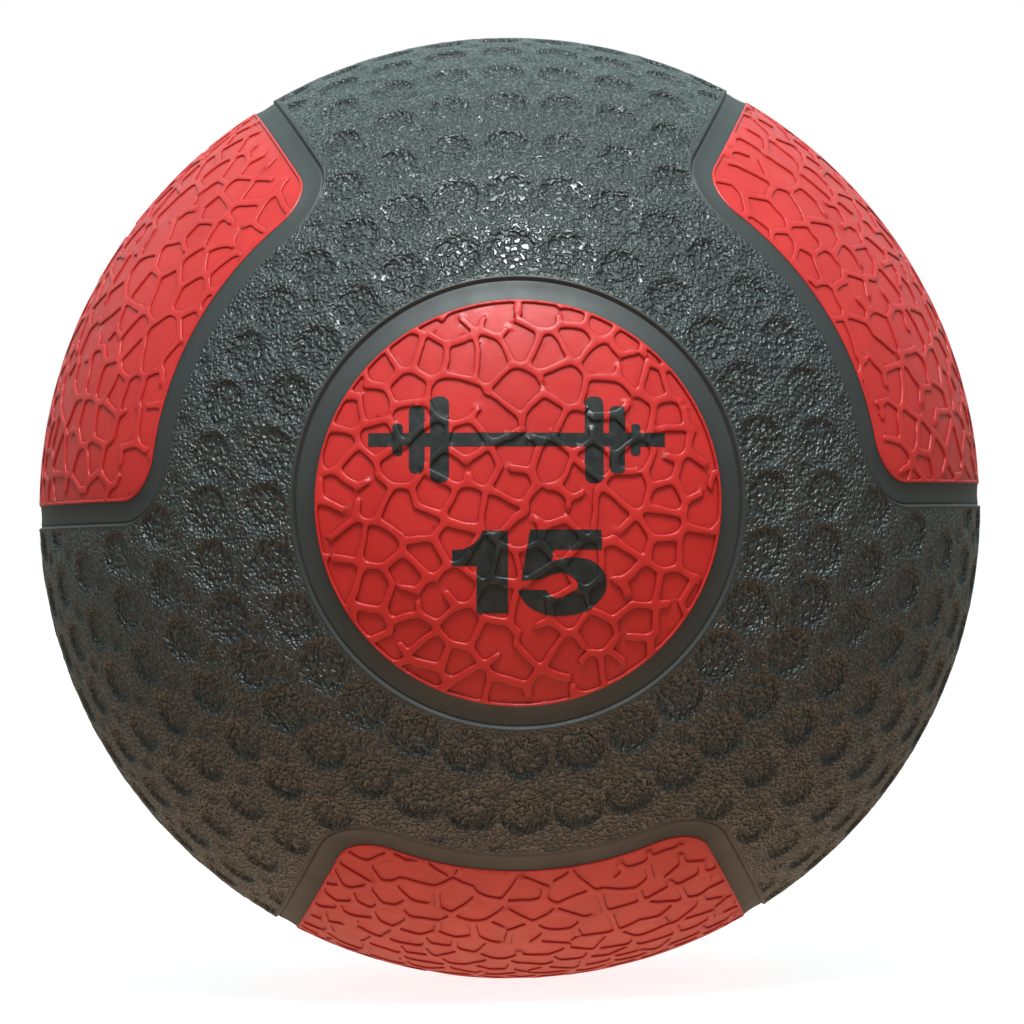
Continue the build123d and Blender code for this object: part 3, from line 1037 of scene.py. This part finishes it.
def weighted_rubber():
    """Dull filled rubber, speckled with mineral grains."""
    shading = Shading("weighted_rubber", (0.07, 0.068, 0.065), 0.7)
    specks = shading.nodes.new("ShaderNodeTexVoronoi")
    specks.inputs["Scale"].default_value = 1 / (1.8 * MM)
    shading.link(shading.place, specks.inputs["Vector"])
    speck = shading.remap(specks.outputs["Distance"], 0.1, 0.28, 1.0, 0.0)
    color = shading.mix(shading.noise(14, 3.0), (0.05, 0.05, 0.05), (0.09, 0.086, 0.08))
    color = shading.mix(speck, color, (0.24, 0.22, 0.19))
    shading.drive("Base Color", color)
    shading.drive("Normal", shading.bump(shading.noise(1.1, 4.0), 0.15, 0.7))
    return shading.material


def nylon_thread():
    """Pale thread wound in several directions, stained by cement."""
    shading = Shading("nylon_thread", (0.78, 0.76, 0.68), 0.55)
    strands = []
    for turn in ((0.0, 0.0, 0.0), (1.1, 0.3, 0.0), (0.4, 1.2, 0.5)):
        turned = shading.nodes.new("ShaderNodeMapping")
        turned.inputs["Rotation"].default_value = turn
        shading.link(shading.place, turned.inputs["Vector"])
        wave = shading.nodes.new("ShaderNodeTexWave")
        wave.bands_direction = "Z"
        wave.inputs["Scale"].default_value = 1 / (3.2 * MM)
        wave.inputs["Distortion"].default_value = 1.2
        shading.link(turned.outputs["Vector"], wave.inputs["Vector"])
        strands.append(wave.outputs["Fac"])
    weave = shading.math("MAXIMUM", shading.math("MAXIMUM", strands[0], strands[1]), strands[2])
    color = shading.mix(weave, (0.36, 0.32, 0.24), (0.82, 0.8, 0.72))
    color = shading.mix(shading.remap(shading.noise(20, 3.0), 0.45, 0.7), color, (0.55, 0.45, 0.28))
    shading.drive("Base Color", color)
    shading.drive("Normal", shading.bump(weave, 0.4, 0.9))
    return shading.material


def butyl():
    """Smooth butyl with a dusting of talc."""
    shading = Shading("butyl", (0.035, 0.035, 0.04), 0.4)
    talc = shading.remap(shading.noise(12, 5.0), 0.5, 0.75)
    color = shading.mix(talc, (0.03, 0.03, 0.034), (0.14, 0.14, 0.15))
    shading.drive("Base Color", color)
    shading.drive("Roughness", shading.remap(talc, 0, 1, 0.34, 0.7))
    shading.drive("Normal", shading.bump(shading.noise(2.5, 2.0), 0.06, 0.5))
    return shading.material


def valve_rubber():
    """Fine-grained black moulded rubber."""
    shading = Shading("valve_rubber", (0.03, 0.03, 0.03), 0.5)
    shade = shading.noise(4, 3.0)
    color = shading.mix(shade, (0.022, 0.022, 0.023), (0.042, 0.041, 0.04))
    shading.drive("Base Color", color)
    shading.drive("Normal", shading.bump(shading.noise(0.5, 2.0), 0.04, 0.6))
    shading.drive("Roughness", shading.remap(shade, 0.3, 0.7, 0.42, 0.58))
    return shading.material


# ---- studio


def add_camera():
    """Long lens straight down the front pole, but for a small tilt and roll."""
    distance, tilt, heading, roll = 9.7, radians(1.25), radians(32.6), radians(1.4)
    lean = Matrix.Rotation(tilt, 3, Vector((-sin(heading), cos(heading), 0)))
    ball_axes = Matrix(((cos(roll), 0, -sin(roll)), (sin(roll), 0, cos(roll)), (0, -1, 0)))
    rotation = (lean @ ball_axes).transposed()
    data = bpy.data.cameras.new("camera")
    data.sensor_width = 36
    data.lens = 159.6
    data.shift_x, data.shift_y = 0.0024, -0.0035
    camera = bpy.data.objects.new("camera", data)
    place = rotation @ Vector((0, 0, distance * BALL_RADIUS * MM))
    camera.matrix_world = Matrix.Translation(place) @ rotation.to_4x4()
    bpy.context.scene.collection.objects.link(camera)
    bpy.context.scene.camera = camera


def add_floor():
    """A wide white floor that keeps the ball's soft shadow but casts nothing back on it."""
    shading = Shading("floor", (0.5, 0.5, 0.5), 0.9)
    shade = shading.noise(400, 2.0)
    color = shading.mix(shade, (0.3, 0.3, 0.3), (0.32, 0.32, 0.32))
    shading.drive("Base Color", color)
    shading.shader.inputs["Emission Color"].default_value = (1, 1, 1, 1)
    shading.shader.inputs["Emission Strength"].default_value = FLOOR_GLOW
    mesh = bpy.data.meshes.new("floor")
    angles = np.arange(64) * 2 * pi / 64
    mesh.from_pydata([(30 * cos(a), 30 * sin(a), FLOOR_HEIGHT) for a in angles], [], [range(64)])
    mesh.materials.append(shading.material)
    floor = bpy.data.objects.new("floor", mesh)
    bpy.context.scene.collection.objects.link(floor)
    floor.visible_diffuse = floor.visible_glossy = floor.visible_shadow = False


def add_light(name, place, target, size, watts, color):
    data = bpy.data.lights.new(name, "AREA")
    data.shape = "DISK"
    data.size = size
    data.energy = watts
    data.color = color
    light = bpy.data.objects.new(name, data)
    light.location = place
    light.rotation_euler = (Vector(target) - Vector(place)).to_track_quat("-Z", "Y").to_euler()
    bpy.context.scene.collection.objects.link(light)


def add_studio():
    """Surroundings that are warm below, cool above and brighter behind, but white to the camera."""
    world = bpy.data.worlds.new("studio")
    world.use_nodes = True
    bpy.context.scene.world = world
    nodes, links = world.node_tree.nodes, world.node_tree.links

    def gain_of(value, gain):
        """A factor of 1 where value is 0, and of gain where it is 1."""
        node = nodes.new("ShaderNodeMapRange")
        node.inputs["To Min"].default_value = 1
        node.inputs["To Max"].default_value = gain
        links.new(value, node.inputs["Value"])
        return node.outputs["Result"]

    def calculated(operation, *values):
        node = nodes.new("ShaderNodeMath")
        node.operation = operation
        for socket, value in zip(node.inputs, values):
            links.new(value, socket)
        return node.outputs["Value"]

    split = nodes.new("ShaderNodeSeparateXYZ")
    links.new(nodes.new("ShaderNodeTexCoord").outputs["Generated"], split.inputs[0])
    height = nodes.new("ShaderNodeMapRange")
    height.inputs["From Min"].default_value = -1
    links.new(split.outputs["Z"], height.inputs["Value"])
    ramp = nodes.new("ShaderNodeValToRGB")
    links.new(height.outputs["Result"], ramp.inputs["Fac"])
    stops = ramp.color_ramp.elements
    stops[0].position, stops[0].color = SKY[0][0], (*SKY[0][1], 1)
    stops[1].position, stops[1].color = SKY[-1][0], (*SKY[-1][1], 1)
    for position, color in SKY[1:-1]:
        stops.new(position).color = (*color, 1)
    behind = gain_of(split.outputs["Y"], BACKDROP_GAIN)
    beside = gain_of(calculated("ABSOLUTE", split.outputs["X"]), SIDE_SHARE)
    surroundings = nodes.new("ShaderNodeVectorMath")
    surroundings.operation = "SCALE"
    links.new(ramp.outputs["Color"], surroundings.inputs[0])
    links.new(calculated("MULTIPLY", behind, beside), surroundings.inputs["Scale"])
    mix = nodes.new("ShaderNodeMix")
    mix.data_type = "RGBA"
    links.new(nodes.new("ShaderNodeLightPath").outputs["Is Camera Ray"], mix.inputs["Factor"])
    links.new(surroundings.outputs["Vector"], mix.inputs["A"])
    mix.inputs["B"].default_value = (1, 1, 1, 1)
    links.new(mix.outputs["Result"], nodes["Background"].inputs["Color"])
    elevation = radians(KEY_ELEVATION)
    key = (0, -KEY_DISTANCE * cos(elevation), KEY_DISTANCE * sin(elevation))
    add_light("key", key, (0, 0, 0), KEY_SIZE, KEY_WATTS, (0.92, 1.0, 1.0))
    bpy.context.scene.view_settings.view_transform = "Standard"


add_camera()
add_floor()
add_studio()
RED, INK = red_inlay(), print_ink()
make_cover(cover_rubber())
make_discs(RED, INK)
make_side_panels(RED)
INNER_MATERIALS = {
    "front_weighted_wall": weighted_rubber,
    "nylon_winding": nylon_thread,
    "air_bladder": butyl,
    "valve_housing": valve_rubber,
}
made = {node: make() for node, make in INNER_MATERIALS.items()}
made["rear_weighted_wall"] = made["front_weighted_wall"]
made["valve_patch"] = made["air_bladder"]
made["valve_plug"] = made["valve_housing"]
for node, material in made.items():
    materials = frame["nodes"][node].data.materials
    materials.clear()
    materials.append(material)
